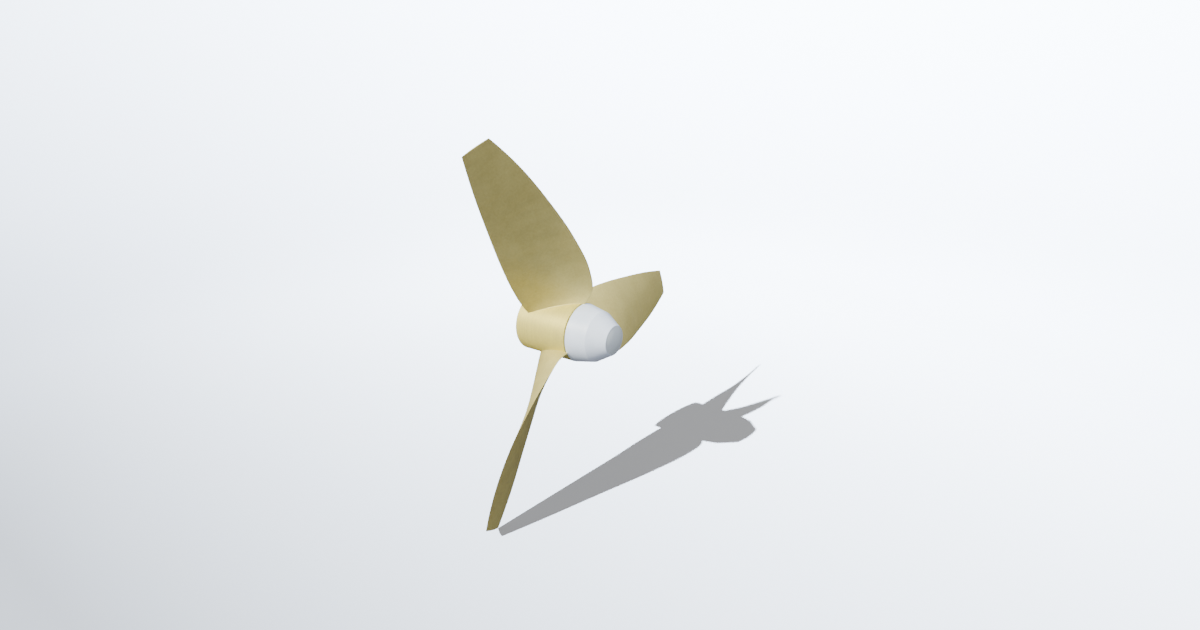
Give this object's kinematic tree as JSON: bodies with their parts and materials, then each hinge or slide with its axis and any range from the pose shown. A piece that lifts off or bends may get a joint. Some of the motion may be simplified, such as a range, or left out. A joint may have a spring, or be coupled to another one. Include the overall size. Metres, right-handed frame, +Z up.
{
  "type": "ship propeller",
  "caption": "Left-handed ship propeller: narrow twisted blades on a cylindrical hub with a tapered shaft bore, and a hollow cone-shaped boss cap.",
  "frame": {"origin": "on the shaft axis, in the plane of the hub's forward face", "axes": "+X along the shaft axis, aft, from the hub's forward face towards the boss cap; +Z up; blade_1 points along +Y and blades 2 and 3 follow at 120 degree steps from +Y towards +Z"},
  "size_m": [0.584, 1.8933, 2.1519],
  "materials": {
    "cast_bronze": "fine-ground cast bronze, satin",
    "cap_paint": "pale grey paint, satin",
    "plate_steel": "pale grey paint, satin"
  },
  "bodies": {
    "root": {"hub": "cast_bronze", "blade_1": "cast_bronze", "blade_2": "cast_bronze", "blade_3": "cast_bronze", "boss_cap": "cap_paint", "cover_plate": "plate_steel"}
  },
  "joints": []
}
